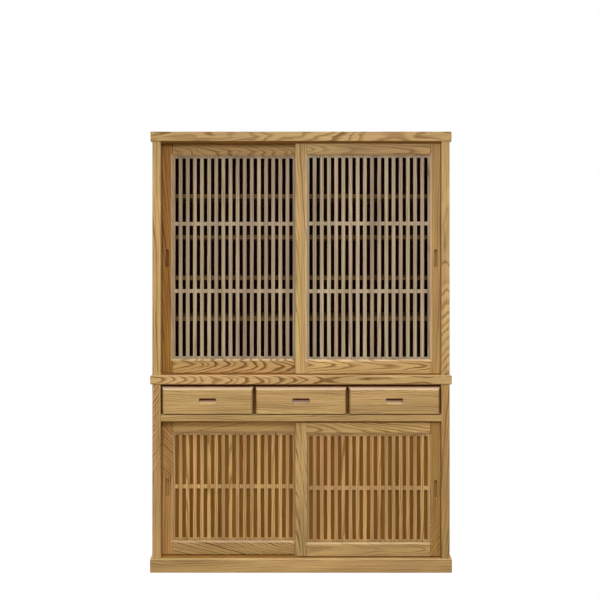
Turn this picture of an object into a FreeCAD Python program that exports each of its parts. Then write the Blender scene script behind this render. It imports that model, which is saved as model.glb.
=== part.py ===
"""Two-piece kitchen cupboard in ash, with sliding lattice doors and a row of drawers.

An upper cabinet with glazed lattice doors stands on a lower cabinet with three drawers
and panelled lattice doors. Millimetres, +Z up, the front faces -Y, and the origin is on
the floor under the middle of the cupboard. Depths are given as a set-back behind the
front plane, which the top board, the counter and the plinth share.
"""
import FreeCAD, Part
import os

# Overall sizes
WIDTH = 1300.0                  # top board, counter and plinth
DEPTH = 450.0
LOWER_HEIGHT = 850.0            # floor to the top of the counter
UPPER_HEIGHT = 1050.0           # top of the counter to the top of the cupboard
SIDE_OVERHANG = 9.0             # boards and plinth beyond the posts at the sides
FRONT_OVERHANG = 3.0            # and at the front

# Boards, posts and sides
TOP_THICKNESS = 42.0
TOP_CORNER_RADIUS = 8.0         # front corners of the top board
TOP_EDGE_RADIUS = 3.0           # its lower and upper edges
COUNTER_THICKNESS = 40.0
COUNTER_EDGE_RADIUS = 5.0
PLINTH_HEIGHT = 60.0
PLINTH_FRONT_THICKNESS = 15.0
PLINTH_SIDE_THICKNESS = 24.0
PLINTH_EDGE_RADIUS = 5.0
POST_WIDTH = 36.0
POST_CHAMFER = 2.0
SIDE_THICKNESS = 24.0
BACK_THICKNESS = 6.0
BACK_INSET = 6.0                # back panels in from the rear edge
PARTITION_THICKNESS = 20.0
PARTITION_GAP = 6.0             # partitions behind the door tracks

# Floors, shelves and their cleats
UPPER_FLOOR_THICKNESS = 7.0
LOWER_FLOOR_THICKNESS = 10.0
SHELF_THICKNESS = 18.0
SHELF_SETBACK = 90.0
SHELF_CLEARANCE = 0.5           # shelf to side, partition and back
UPPER_SHELF_COUNT = 4
UPPER_SHELF_PITCH = 180.0
CLEAT_WIDTH = 12.0
CLEAT_HEIGHT = 18.0

# Door tracks
GUIDE_HEIGHT = 7.0              # strips that form the two grooves at the head
UPPER_TRACK_HEIGHT = 3.0        # strips on the counter that form the upper doors' lower grooves
SILL_GROOVE_DEPTH = 4.0         # grooves in the lower sill
TONGUE_THICKNESS = 9.0
TONGUE_CLEARANCE = 0.5          # each face of a tongue in its groove
TONGUE_HEAD_LAP = 3.0           # tongue into the head groove
RUNNING_CLEARANCE = 0.3
HEAD_SHOULDER_GAP = 1.5         # door shoulders under the head guides
UPPER_SHOULDER_GAP = 3.0        # upper doors off their track
LOWER_SHOULDER_GAP = 7.0        # lower doors off the lower sill
DOOR_EDGE_GAP = 1.0             # outer edge of a door to its post
DOOR_SETBACK = 12.0             # front door behind the post faces
TRACK_MARGIN = 6.0              # tracks before the front door and behind the rear door
DOOR_GAP = 4.0                  # front door to rear door

# Door frames and lattices
PULL_STILE_WIDTH = 46.0         # outer stile, with the finger slot
MEETING_STILE_WIDTH = 51.0
MEETING_LAP = 25.0              # meeting stile past the centre line
UPPER_TOP_RAIL = 50.0
LOWER_TOP_RAIL = 50.0
UPPER_BOTTOM_RAIL = 60.5
LOWER_BOTTOM_RAIL = 58.0
FRAME_CHAMFER_WIDTH = 8.0
FRAME_CHAMFER_DEPTH = 4.0
STILE_EDGE_CHAMFER = 2.0
LATTICE_SETBACK = 5.0
LATTICE_DEPTH = 8.0
BORDER_WIDTH = 10.0
SLAT_COUNT = 16
SLAT_WIDTH = 16.0
SLAT_CHAMFER = 1.0
BAR_HEIGHT = 16.0
UPPER_BAR_COUNT = 2
LOWER_BAR_COUNT = 1
PANE_THICKNESS = 4.0
PANE_CLEARANCE = 1.0
REBATE_WIDTH = 8.0
BEAD_DEPTH = 5.0
FINGER_SLOT_LENGTH = 78.0
FINGER_SLOT_WIDTH = 13.0
FINGER_SLOT_DEPTH = 10.0
FINGER_SLOT_INSET = 22.0        # slot's centre line in from the outer edge of its stile
FINGER_SLOT_CHAMFER = 1.5

# Drawers
DRAWER_COUNT = 3
DRAWER_NAMES = ("left", "middle", "right")
DRAWER_OPENING_HEIGHT = 131.0
DRAWER_RAIL_HEIGHT = 27.0
STRETCHER_THICKNESS = 18.0
DECK_THICKNESS = 18.0
DIVIDER_THICKNESS = 20.0
DRAWER_SETBACK = 1.0            # drawer faces behind the post faces
DRAWER_FRONT_THICKNESS = 22.0
DRAWER_SIDE_BEVEL_WIDTH = 9.0   # bevels at the ends of the face, as seen from the front
DRAWER_HEAD_BEVEL_WIDTH = 11.0  # along the upper edge
DRAWER_FOOT_BEVEL_WIDTH = 1.5   # along the lower edge
DRAWER_BEVEL_DEPTH = 15.0
DRAWER_TOP_GAP = 12.0
DRAWER_BOTTOM_GAP = 3.0
DRAWER_END_GAP = 3.0
DRAWER_STRETCHER_GAP = 2.0      # stretcher behind the drawer fronts
DRAWER_SIDE_THICKNESS = 12.0
DRAWER_SIDE_TOP_GAP = 4.0       # drawer sides under the stretcher
DRAWER_BOTTOM_THICKNESS = 5.0
DRAWER_BOTTOM_LIFT = 6.0
DRAWER_REAR_GAP = 24.0
DRAWER_GUIDE_CLEARANCE = 0.5
PULL_LENGTH = 74.0
PULL_HEIGHT = 20.0
PULL_DEPTH = 15.0               # at the top of the hollow, where the fingers hook in
PULL_FOOT_DEPTH = 6.0           # at its foot
PULL_CORNER_RADIUS = 5.0
PULL_LIP_HEIGHT = 5.0
PULL_LIP_DEPTH = 5.0

CUT_MARGIN = 1.0                # a cutter's reach past the face that it opens

# Places that follow from the sizes
FRONT = -DEPTH / 2
HEIGHT = LOWER_HEIGHT + UPPER_HEIGHT
BODY_HALF = WIDTH / 2 - SIDE_OVERHANG
OPENING_HALF = BODY_HALF - POST_WIDTH
INSIDE_HALF = BODY_HALF - SIDE_THICKNESS
DOOR_THICKNESS = LATTICE_SETBACK + LATTICE_DEPTH + PANE_THICKNESS + BEAD_DEPTH
FRONT_DOOR = FRONT_OVERHANG + DOOR_SETBACK
REAR_DOOR = FRONT_DOOR + DOOR_THICKNESS + DOOR_GAP
TRACK_FRONT = FRONT_DOOR - TRACK_MARGIN
TRACK_BACK = REAR_DOOR + DOOR_THICKNESS + TRACK_MARGIN
BACK_FRONT = DEPTH - BACK_INSET - BACK_THICKNESS
PARTITION_FRONT = TRACK_BACK + PARTITION_GAP
COUNTER_BOTTOM = LOWER_HEIGHT - COUNTER_THICKNESS
TOP_BOTTOM = HEIGHT - TOP_THICKNESS
UPPER_FLOOR = LOWER_HEIGHT + UPPER_FLOOR_THICKNESS
UPPER_TRACK = LOWER_HEIGHT + UPPER_TRACK_HEIGHT
LOWER_GROOVE_FLOOR = PLINTH_HEIGHT - SILL_GROOVE_DEPTH
DRAWER_RAIL_TOP = COUNTER_BOTTOM - DRAWER_OPENING_HEIGHT
DRAWER_RAIL_BOTTOM = DRAWER_RAIL_TOP - DRAWER_RAIL_HEIGHT
DRAWER_FACE = FRONT_OVERHANG + DRAWER_SETBACK
DRAWER_FRONT_BACK = DRAWER_FACE + DRAWER_FRONT_THICKNESS
DRAWER_PITCH = 2 * OPENING_HALF / DRAWER_COUNT

nodes = {}


def block(x0, x1, back0, back1, z0, z1):
    """A box from x0 to x1 and z0 to z1, set back between back0 and back1."""
    corner = FreeCAD.Vector(x0, FRONT + back0, z0)
    return Part.makeBox(x1 - x0, back1 - back0, z1 - z0, corner)


def edges_where(shape, test):
    """The edges whose every vertex passes the test."""
    return [edge for edge in shape.Edges if all(test(vertex.Point) for vertex in edge.Vertexes)]


def near(value, target):
    return abs(value - target) < 1e-4


def round_board(board, corner_radius, lower_radius, upper_radius):
    """Rounds a board's two front corners, then its lower and upper edges except at the back."""
    box = board.BoundBox

    def upright_front(edge):
        low, high = edge.BoundBox.ZMin, edge.BoundBox.ZMax
        return near(edge.BoundBox.YMax, box.YMin) and high - low > 0.5 * box.ZLength

    board = board.makeFillet(corner_radius, [edge for edge in board.Edges if upright_front(edge)])
    for level, radius in ((box.ZMin, lower_radius), (box.ZMax, upper_radius)):
        rim = [edge for edge in edges_where(board, lambda point: near(point.z, level))
               if not near(edge.BoundBox.YMin, box.YMax)]
        board = board.makeFillet(radius, rim)
    return board


def chamfer_front_uprights(shape, size):
    """Takes the sharp corner off the upright edges on a piece's front face."""
    box = shape.BoundBox
    edges = [edge for edge in edges_where(shape, lambda point: near(point.y, box.YMin))
             if edge.BoundBox.ZLength > 0.5 * box.ZLength]
    return shape.makeChamfer(size, edges)


def mirrored_pair(make, names):
    """Stores a left piece and a right piece, made for the sides -1 and +1."""
    for name, side in zip(names, (-1, 1)):
        nodes[name] = [make(side)]


def side_block(side, near_x, far_x, back0, back1, z0, z1):
    """A box between two distances from the centre line, on the left (-1) or right (+1)."""
    x0, x1 = sorted((side * near_x, side * far_x))
    return block(x0, x1, back0, back1, z0, z1)


def door_grooves(z0, z1):
    """Cutters for the two door grooves, over the height that they are cut."""
    half = TONGUE_THICKNESS / 2 + TONGUE_CLEARANCE
    grooves = []
    for door_front in (FRONT_DOOR, REAR_DOOR):
        middle = door_front + DOOR_THICKNESS / 2
        grooves.append(block(-WIDTH, WIDTH, middle - half, middle + half, z0, z1))
    return grooves


def track_strips(front, z0, z1):
    """Three strips between the posts, with the two door grooves between them."""
    strip = block(-OPENING_HALF, OPENING_HALF, front, TRACK_BACK, z0, z1)
    return strip.cut(door_grooves(z0 - CUT_MARGIN, z1 + CUT_MARGIN)).Solids


def head_guides(level):
    """Track strips under a head at the given level, level with the front door's face."""
    return track_strips(FRONT_DOOR, level - GUIDE_HEIGHT, level)


def make_case(prefix, z0, z1):
    """Posts, side panels and back panel of one cabinet."""
    def post(side):
        shape = side_block(side, OPENING_HALF, BODY_HALF, FRONT_OVERHANG, TRACK_BACK, z0, z1)
        return chamfer_front_uprights(shape, POST_CHAMFER)

    def panel(side):
        return side_block(side, INSIDE_HALF, BODY_HALF, TRACK_BACK, DEPTH, z0, z1)

    mirrored_pair(post, (f"{prefix}_left_post", f"{prefix}_right_post"))
    mirrored_pair(panel, (f"{prefix}_left_side", f"{prefix}_right_side"))
    back = block(-INSIDE_HALF, INSIDE_HALF, BACK_FRONT, BACK_FRONT + BACK_THICKNESS, z0, z1)
    nodes[f"{prefix}_back_panel"] = [back]


def make_partition(prefix, z0, z1):
    """The upright board behind the meeting stiles, which halves the shelf span."""
    half = PARTITION_THICKNESS / 2
    nodes[f"{prefix}_partition"] = [block(-half, half, PARTITION_FRONT, BACK_FRONT, z0, z1)]


def make_shelves(prefix, undersides):
    """Two half-width shelves at each level, each on a cleat at the side and at the partition."""
    inner, outer = PARTITION_THICKNESS / 2, INSIDE_HALF
    rear = BACK_FRONT - SHELF_CLEARANCE
    shelves, cleats = [], []
    for level in undersides:
        top = level + SHELF_THICKNESS
        for side in (-1, 1):
            shelves.append(side_block(side, inner + SHELF_CLEARANCE, outer - SHELF_CLEARANCE,
                                      SHELF_SETBACK, rear, level, top))
            for edge, toward in ((inner, 1), (outer, -1)):
                cleats.append(side_block(side, edge, edge + toward * CLEAT_WIDTH,
                                         SHELF_SETBACK, rear, level - CLEAT_HEIGHT, level))
    nodes[f"{prefix}_shelves"] = shelves
    nodes.setdefault("shelf_cleats", []).extend(cleats)


def make_upper_cabinet():
    top = block(-WIDTH / 2, WIDTH / 2, 0, DEPTH, TOP_BOTTOM, HEIGHT)
    nodes["top_board"] = [round_board(top, TOP_CORNER_RADIUS, TOP_EDGE_RADIUS, TOP_EDGE_RADIUS)]
    make_case("upper", LOWER_HEIGHT, TOP_BOTTOM)
    nodes["upper_head_guides"] = head_guides(TOP_BOTTOM)
    nodes["upper_sill"] = track_strips(TRACK_FRONT, LOWER_HEIGHT, UPPER_TRACK)
    nodes["upper_floor"] = [block(-INSIDE_HALF, INSIDE_HALF, TRACK_BACK, BACK_FRONT,
                                  LOWER_HEIGHT, UPPER_FLOOR)]
    make_partition("upper", UPPER_FLOOR, TOP_BOTTOM)
    stack = (UPPER_SHELF_COUNT - 1) * UPPER_SHELF_PITCH + SHELF_THICKNESS
    lowest = (UPPER_FLOOR + TOP_BOTTOM - stack) / 2
    make_shelves("upper", [lowest + i * UPPER_SHELF_PITCH for i in range(UPPER_SHELF_COUNT)])


def make_plinth():
    half = WIDTH / 2
    front = block(-half, half, 0, PLINTH_FRONT_THICKNESS, 0, PLINTH_HEIGHT)
    box = front.BoundBox
    rim = [edge for edge in edges_where(front, lambda point: near(point.z, box.ZMax))
           if not near(edge.BoundBox.YMin, box.YMax)]
    nodes["plinth_front"] = [front.makeFillet(PLINTH_EDGE_RADIUS, rim)]
    inner = half - PLINTH_SIDE_THICKNESS
    returns = [side_block(side, inner, half, PLINTH_FRONT_THICKNESS, DEPTH, 0, PLINTH_HEIGHT)
               for side in (-1, 1)]
    returns.append(block(-inner, inner, DEPTH - PLINTH_SIDE_THICKNESS, DEPTH, 0, PLINTH_HEIGHT))
    nodes["plinth_returns"] = returns


def make_lower_cabinet():
    counter = block(-WIDTH / 2, WIDTH / 2, 0, DEPTH, COUNTER_BOTTOM, LOWER_HEIGHT)
    nodes["counter"] = [round_board(counter, COUNTER_EDGE_RADIUS, COUNTER_EDGE_RADIUS,
                                    COUNTER_EDGE_RADIUS)]
    make_plinth()
    make_case("lower", PLINTH_HEIGHT, COUNTER_BOTTOM)
    nodes["lower_head_guides"] = head_guides(DRAWER_RAIL_BOTTOM)
    floor_half = WIDTH / 2 - PLINTH_SIDE_THICKNESS
    floor_bottom = PLINTH_HEIGHT - LOWER_FLOOR_THICKNESS
    sill = block(-floor_half, floor_half, PLINTH_FRONT_THICKNESS, TRACK_BACK, floor_bottom, PLINTH_HEIGHT)
    nodes["lower_sill"] = [sill.cut(door_grooves(LOWER_GROOVE_FLOOR, PLINTH_HEIGHT + CUT_MARGIN))]
    nodes["lower_floor"] = [block(-floor_half, floor_half, TRACK_BACK, DEPTH - PLINTH_SIDE_THICKNESS,
                                  floor_bottom, PLINTH_HEIGHT)]
    deck_bottom = DRAWER_RAIL_TOP - DECK_THICKNESS
    nodes["drawer_rail"] = [block(-OPENING_HALF, OPENING_HALF, FRONT_OVERHANG, TRACK_BACK,
                                  DRAWER_RAIL_BOTTOM, DRAWER_RAIL_TOP)]
    nodes["drawer_deck"] = [block(-INSIDE_HALF, INSIDE_HALF, TRACK_BACK, BACK_FRONT,
                                  deck_bottom, DRAWER_RAIL_TOP)]
    nodes["drawer_stretcher"] = [block(-OPENING_HALF, OPENING_HALF,
                                       DRAWER_FRONT_BACK + DRAWER_STRETCHER_GAP, TRACK_BACK,
                                       COUNTER_BOTTOM - STRETCHER_THICKNESS, COUNTER_BOTTOM)]
    make_partition("lower", PLINTH_HEIGHT, deck_bottom)
    make_shelves("lower", [(PLINTH_HEIGHT + deck_bottom - SHELF_THICKNESS) / 2])


def stadium_slot(x, z, length, width, depth_from, depth_to):
    """An upright slot with half-round ends, as a cutter."""
    radius = width / 2
    reach = length / 2 - radius
    slot = block(x - radius, x + radius, depth_from, depth_to, z - reach, z + reach)
    for end in (z - reach, z + reach):
        start = FreeCAD.Vector(x, FRONT + depth_from, end)
        slot = slot.fuse(Part.makeCylinder(radius, depth_to - depth_from, start, FreeCAD.Vector(0, 1, 0)))
    return slot.removeSplitter()


def prism(section, x0, x1):
    """A straight piece from x0 to x1, with a section given as (set-back, level) corners."""
    points = [FreeCAD.Vector(x0, FRONT + back, level) for back, level in section + section[:1]]
    return Part.Face(Part.makePolygon(points)).extrude(FreeCAD.Vector(x1 - x0, 0, 0))


def rectangle_at(x0, x1, back, z0, z1):
    corners = [(x0, z0), (x1, z0), (x1, z1), (x0, z1), (x0, z0)]
    return Part.makePolygon([FreeCAD.Vector(x, FRONT + back, z) for x, z in corners])


class Door:
    """One sliding lattice door: a tongued frame, a half-lapped lattice, a pane and its beads."""

    def __init__(self, name, side, bottom, top, groove_floor, head, rails, bar_count, pane_name):
        self.name = name
        self.side = side
        self.front = FRONT_DOOR if side > 0 else REAR_DOOR
        self.back = self.front + DOOR_THICKNESS
        self.bottom, self.top = bottom, top
        self.tongue_low = groove_floor + RUNNING_CLEARANCE
        self.tongue_high = head - GUIDE_HEIGHT + TONGUE_HEAD_LAP
        self.outer = OPENING_HALF - DOOR_EDGE_GAP
        self.x0, self.x1 = sorted((side * self.outer, -side * MEETING_LAP))
        stiles = (MEETING_STILE_WIDTH, PULL_STILE_WIDTH)
        left_stile, right_stile = stiles if side > 0 else stiles[::-1]
        self.in_x0, self.in_x1 = self.x0 + left_stile, self.x1 - right_stile
        bottom_rail, top_rail = rails
        self.in_z0, self.in_z1 = bottom + bottom_rail, top - top_rail
        self.lattice_front = self.front + LATTICE_SETBACK
        self.lattice_back = self.lattice_front + LATTICE_DEPTH
        self.bar_count = bar_count
        self.pane_name = pane_name

    def inside_cutters(self):
        """The chamfer round the inner front edges and the rebate round the inner back edges."""
        wires = []
        for step in (2, 0):
            grow = step * FRAME_CHAMFER_WIDTH
            depth = self.front + (1 - step) * FRAME_CHAMFER_DEPTH
            wires.append(rectangle_at(self.in_x0 - grow, self.in_x1 + grow, depth,
                                      self.in_z0 - grow, self.in_z1 + grow))
        chamfer = Part.makeLoft(wires, True, True)
        rebate = block(self.in_x0 - REBATE_WIDTH, self.in_x1 + REBATE_WIDTH, self.lattice_back,
                       self.back + CUT_MARGIN, self.in_z0 - REBATE_WIDTH, self.in_z1 + REBATE_WIDTH)
        return [chamfer, rebate]

    def tongue(self, x0, x1, z0, z1):
        middle = (self.front + self.back) / 2
        return block(x0, x1, middle - TONGUE_THICKNESS / 2, middle + TONGUE_THICKNESS / 2, z0, z1)

    def stile(self, x0, x1):
        upright = block(x0, x1, self.front, self.back, self.bottom, self.top)
        upright = chamfer_front_uprights(upright, STILE_EDGE_CHAMFER)
        upright = upright.fuse([self.tongue(x0, x1, self.tongue_low, self.bottom),
                                self.tongue(x0, x1, self.top, self.tongue_high)])
        return upright.removeSplitter().cut(self.inside_cutters())

    def pull_stile(self, x0, x1):
        x = self.side * (self.outer - FINGER_SLOT_INSET)
        z = (self.bottom + self.top) / 2
        slot = stadium_slot(x, z, FINGER_SLOT_LENGTH, FINGER_SLOT_WIDTH,
                            self.front - CUT_MARGIN, self.front + FINGER_SLOT_DEPTH)
        shape = self.stile(x0, x1).cut(slot)
        reach = FINGER_SLOT_LENGTH / 2 + CUT_MARGIN
        half = FINGER_SLOT_WIDTH / 2 + CUT_MARGIN
        rim = edges_where(shape, lambda point: near(point.y, FRONT + self.front)
                          and abs(point.x - x) < half and abs(point.z - z) < reach)
        return shape.makeChamfer(FINGER_SLOT_CHAMFER, rim)

    def rails(self):
        cutters = self.inside_cutters()
        low = block(self.in_x0, self.in_x1, self.front, self.back, self.bottom, self.in_z0)
        high = block(self.in_x0, self.in_x1, self.front, self.back, self.in_z1, self.top)
        low = low.fuse(self.tongue(self.in_x0, self.in_x1, self.tongue_low, self.bottom))
        high = high.fuse(self.tongue(self.in_x0, self.in_x1, self.top, self.tongue_high))
        return [rail.removeSplitter().cut(cutters) for rail in (low, high)]

    def ring(self, x0, x1, z0, z1, width, back0, back1):
        """Four strips round a rectangle, inside its edge, the uprights running through."""
        return [block(x0, x0 + width, back0, back1, z0, z1),
                block(x1 - width, x1, back0, back1, z0, z1),
                block(x0 + width, x1 - width, back0, back1, z0, z0 + width),
                block(x0 + width, x1 - width, back0, back1, z1 - width, z1)]

    def slat(self, x, z0, z1):
        """An upright slat with its two front edges eased."""
        ease = SLAT_CHAMFER
        section = [(0, LATTICE_DEPTH), (0, ease), (ease, 0), (SLAT_WIDTH - ease, 0),
                   (SLAT_WIDTH, ease), (SLAT_WIDTH, LATTICE_DEPTH), (0, LATTICE_DEPTH)]
        points = [FreeCAD.Vector(x + dx, FRONT + self.lattice_front + dy, z0) for dx, dy in section]
        return Part.Face(Part.makePolygon(points)).extrude(FreeCAD.Vector(0, 0, z1 - z0))

    def lattice(self):
        """Border strips, then upright slats half-lapped over level bars."""
        x0, x1 = self.in_x0 + BORDER_WIDTH, self.in_x1 - BORDER_WIDTH
        z0, z1 = self.in_z0 + BORDER_WIDTH, self.in_z1 - BORDER_WIDTH
        gap = (x1 - x0 - SLAT_COUNT * SLAT_WIDTH) / (SLAT_COUNT + 1)
        slat_left = [x0 + gap + i * (SLAT_WIDTH + gap) for i in range(SLAT_COUNT)]
        bay = (z1 - z0 - self.bar_count * BAR_HEIGHT) / (self.bar_count + 1)
        bar_low = [z0 + bay + i * (BAR_HEIGHT + bay) for i in range(self.bar_count)]
        lap = (self.lattice_front + self.lattice_back) / 2
        slat_notches = [block(x0, x1, lap, self.lattice_back + CUT_MARGIN, low, low + BAR_HEIGHT)
                        for low in bar_low]
        slats = [self.slat(left, z0, z1).cut(slat_notches) for left in slat_left]
        bars = []
        for low in bar_low:
            notches = [block(left, left + SLAT_WIDTH, self.lattice_front - CUT_MARGIN, lap,
                             low - CUT_MARGIN, low + BAR_HEIGHT + CUT_MARGIN) for left in slat_left]
            bars.append(block(x0, x1, self.lattice_front, self.lattice_back,
                              low, low + BAR_HEIGHT).cut(notches))
        border = self.ring(self.in_x0, self.in_x1, self.in_z0, self.in_z1, BORDER_WIDTH,
                           self.lattice_front, self.lattice_back)
        return border + slats + bars

    def pane(self):
        reach = REBATE_WIDTH - PANE_CLEARANCE
        return block(self.in_x0 - reach, self.in_x1 + reach, self.lattice_back,
                     self.lattice_back + PANE_THICKNESS, self.in_z0 - reach, self.in_z1 + reach)

    def beads(self):
        return self.ring(self.in_x0 - REBATE_WIDTH, self.in_x1 + REBATE_WIDTH,
                         self.in_z0 - REBATE_WIDTH, self.in_z1 + REBATE_WIDTH, REBATE_WIDTH,
                         self.lattice_back + PANE_THICKNESS, self.back)

    def store(self):
        left, right = (self.x0, self.in_x0), (self.in_x1, self.x1)
        pull, meeting = (right, left) if self.side > 0 else (left, right)
        nodes[f"{self.name}_pull_stile"] = [self.pull_stile(*pull)]
        nodes[f"{self.name}_meeting_stile"] = [self.stile(*meeting)]
        nodes[f"{self.name}_rails"] = self.rails()
        nodes[f"{self.name}_lattice"] = self.lattice()
        nodes[f"{self.name}_{self.pane_name}"] = [self.pane()]
        nodes[f"{self.name}_beads"] = self.beads()


def make_doors():
    for side, word in ((-1, "left"), (1, "right")):
        upper = Door(f"upper_{word}_door", side,
                     bottom=UPPER_TRACK + UPPER_SHOULDER_GAP,
                     top=TOP_BOTTOM - GUIDE_HEIGHT - HEAD_SHOULDER_GAP,
                     groove_floor=LOWER_HEIGHT, head=TOP_BOTTOM,
                     rails=(UPPER_BOTTOM_RAIL, UPPER_TOP_RAIL),
                     bar_count=UPPER_BAR_COUNT, pane_name="glass")
        lower = Door(f"lower_{word}_door", side,
                     bottom=PLINTH_HEIGHT + LOWER_SHOULDER_GAP,
                     top=DRAWER_RAIL_BOTTOM - GUIDE_HEIGHT - HEAD_SHOULDER_GAP,
                     groove_floor=LOWER_GROOVE_FLOOR, head=DRAWER_RAIL_BOTTOM,
                     rails=(LOWER_BOTTOM_RAIL, LOWER_TOP_RAIL),
                     bar_count=LOWER_BAR_COUNT, pane_name="panel")
        upper.store()
        lower.store()


def drawer_pull(middle, z):
    """Cutters for a finger pull: a hollow that deepens upwards, and a sloping lip under it."""
    low, high = z - PULL_HEIGHT / 2, z + PULL_HEIGHT / 2
    mouth = DRAWER_FACE - CUT_MARGIN
    hollow = prism([(mouth, low), (mouth, high), (DRAWER_FACE + PULL_DEPTH, high),
                    (DRAWER_FACE + PULL_FOOT_DEPTH, low)],
                   middle - PULL_LENGTH / 2, middle + PULL_LENGTH / 2)
    inward = [edge for edge in hollow.Edges if near(abs(edge.tangentAt(edge.FirstParameter).y), 1)]
    hollow = hollow.makeFillet(PULL_CORNER_RADIUS, inward)
    lip_half = PULL_LENGTH / 2 - PULL_CORNER_RADIUS
    lip = prism([(DRAWER_FACE, low - PULL_LIP_HEIGHT), (DRAWER_FACE + PULL_LIP_DEPTH, low),
                 (DRAWER_FACE, low)], middle - lip_half, middle + lip_half)
    return [hollow, lip]


def drawer_front(middle, z0, z1):
    """A front bevelled on all four sides, with a routed finger pull."""
    half = DRAWER_PITCH / 2 - DRAWER_END_GAP
    x0, x1 = middle - half, middle + half
    shoulder = DRAWER_FACE + DRAWER_BEVEL_DEPTH
    face = rectangle_at(x0 + DRAWER_SIDE_BEVEL_WIDTH, x1 - DRAWER_SIDE_BEVEL_WIDTH, DRAWER_FACE,
                        z0 + DRAWER_FOOT_BEVEL_WIDTH, z1 - DRAWER_HEAD_BEVEL_WIDTH)
    bevel = Part.makeLoft([rectangle_at(x0, x1, shoulder, z0, z1), face], True, True)
    front = block(x0, x1, shoulder, DRAWER_FRONT_BACK, z0, z1).fuse(bevel).removeSplitter()
    return front.cut(drawer_pull(middle, (z0 + z1) / 2))


def drawer_box(middle, z0, z1):
    """Two sides and a back on the deck, and a bottom let in between them."""
    half = (DRAWER_PITCH - DIVIDER_THICKNESS) / 2 - DRAWER_GUIDE_CLEARANCE
    rear = BACK_FRONT - DRAWER_REAR_GAP
    wall = DRAWER_SIDE_THICKNESS
    inner = half - wall
    bottom = z0 + DRAWER_BOTTOM_LIFT
    return [block(middle - half, middle - inner, DRAWER_FRONT_BACK, rear, z0, z1),
            block(middle + inner, middle + half, DRAWER_FRONT_BACK, rear, z0, z1),
            block(middle - inner, middle + inner, rear - wall, rear, z0, z1),
            block(middle - inner, middle + inner, DRAWER_FRONT_BACK, rear - wall,
                  bottom, bottom + DRAWER_BOTTOM_THICKNESS)]


def make_drawers():
    first = -DRAWER_PITCH * (DRAWER_COUNT - 1) / 2
    middles = [first + i * DRAWER_PITCH for i in range(DRAWER_COUNT)]
    front_low = DRAWER_RAIL_TOP + DRAWER_BOTTOM_GAP
    front_high = COUNTER_BOTTOM - DRAWER_TOP_GAP
    box_low = DRAWER_RAIL_TOP + RUNNING_CLEARANCE
    box_high = COUNTER_BOTTOM - STRETCHER_THICKNESS - DRAWER_SIDE_TOP_GAP
    for name, middle in zip(DRAWER_NAMES, middles):
        nodes[f"{name}_drawer_front"] = [drawer_front(middle, front_low, front_high)]
        nodes[f"{name}_drawer_box"] = drawer_box(middle, box_low, box_high)
    half = DIVIDER_THICKNESS / 2
    dividers = [(low + high) / 2 for low, high in zip(middles, middles[1:])]
    nodes["drawer_dividers"] = [block(x - half, x + half, TRACK_BACK, BACK_FRONT,
                                      DRAWER_RAIL_TOP, COUNTER_BOTTOM) for x in dividers]
    guide_inner = OPENING_HALF - half
    nodes["drawer_side_guides"] = [side_block(side, guide_inner, INSIDE_HALF, TRACK_BACK, BACK_FRONT,
                                              DRAWER_RAIL_TOP, COUNTER_BOTTOM) for side in (-1, 1)]


def main():
    make_upper_cabinet()
    make_lower_cabinet()
    make_doors()
    make_drawers()
    os.makedirs("parts", exist_ok=True)
    for name, solids in nodes.items():
        shape = solids[0] if len(solids) == 1 else Part.makeCompound(solids)
        shape.exportStep(f"parts/{name}.step")
        print(f"{name}: {len(shape.Solids)} solids, valid {shape.isValid()}")


main()
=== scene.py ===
"""Looks for the two-piece kitchen cupboard: lacquered ash, bronze glass and a plain studio.

The cupboard's shapes come from the frame. This file gives every piece its finish and sets the stage.
Metres, +Z up, and the front faces -Y.
"""
import math
from collections import namedtuple

import bpy
import numpy as np
from bpy.props import FloatProperty, FloatVectorProperty, IntProperty, PointerProperty
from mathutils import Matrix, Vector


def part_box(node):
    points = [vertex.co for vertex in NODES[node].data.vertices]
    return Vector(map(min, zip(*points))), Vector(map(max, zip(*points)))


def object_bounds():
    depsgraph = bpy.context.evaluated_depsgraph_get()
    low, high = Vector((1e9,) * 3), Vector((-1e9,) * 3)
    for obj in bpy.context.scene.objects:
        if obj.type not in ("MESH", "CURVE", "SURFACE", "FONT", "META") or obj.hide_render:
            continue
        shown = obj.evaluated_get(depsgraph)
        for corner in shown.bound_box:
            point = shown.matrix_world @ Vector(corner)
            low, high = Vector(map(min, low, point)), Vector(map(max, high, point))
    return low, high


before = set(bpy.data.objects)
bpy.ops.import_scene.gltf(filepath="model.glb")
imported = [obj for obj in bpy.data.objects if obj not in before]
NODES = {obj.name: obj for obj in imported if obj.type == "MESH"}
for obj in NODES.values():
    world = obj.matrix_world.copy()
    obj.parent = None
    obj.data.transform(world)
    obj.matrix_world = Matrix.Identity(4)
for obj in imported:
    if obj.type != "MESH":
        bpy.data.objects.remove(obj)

bl_info = {
    "name": "Lattice cupboard",
    "version": (1, 0, 0),
    "blender": (4, 5, 0),
    "location": "3D View > Sidebar > Cupboard",
    "description": "Finishes a two-piece kitchen cupboard with sliding lattice doors",
    "category": "Object",
}

CAD_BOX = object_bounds()
FRONT = CAD_BOX[0][1]
MM = 0.001
IMAGE_PIXELS = 600


def linear(hex_colour):
    """An sRGB hex colour as linear red, green, blue and an alpha of 1."""
    parts = np.array([int(hex_colour[i:i + 2], 16) for i in (1, 3, 5)]) / 255.0
    low = parts / 12.92
    high = ((parts + 0.055) / 1.055) ** 2.4
    return (*np.where(parts <= 0.04045, low, high).tolist(), 1.0)


def colour_property(name, description, hex_colour):
    """A colour that a user can change, from its sRGB hex value."""
    return FloatVectorProperty(name=name, description=description, subtype="COLOR", size=4,
                               min=0.0, max=1.0, default=linear(hex_colour))


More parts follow.
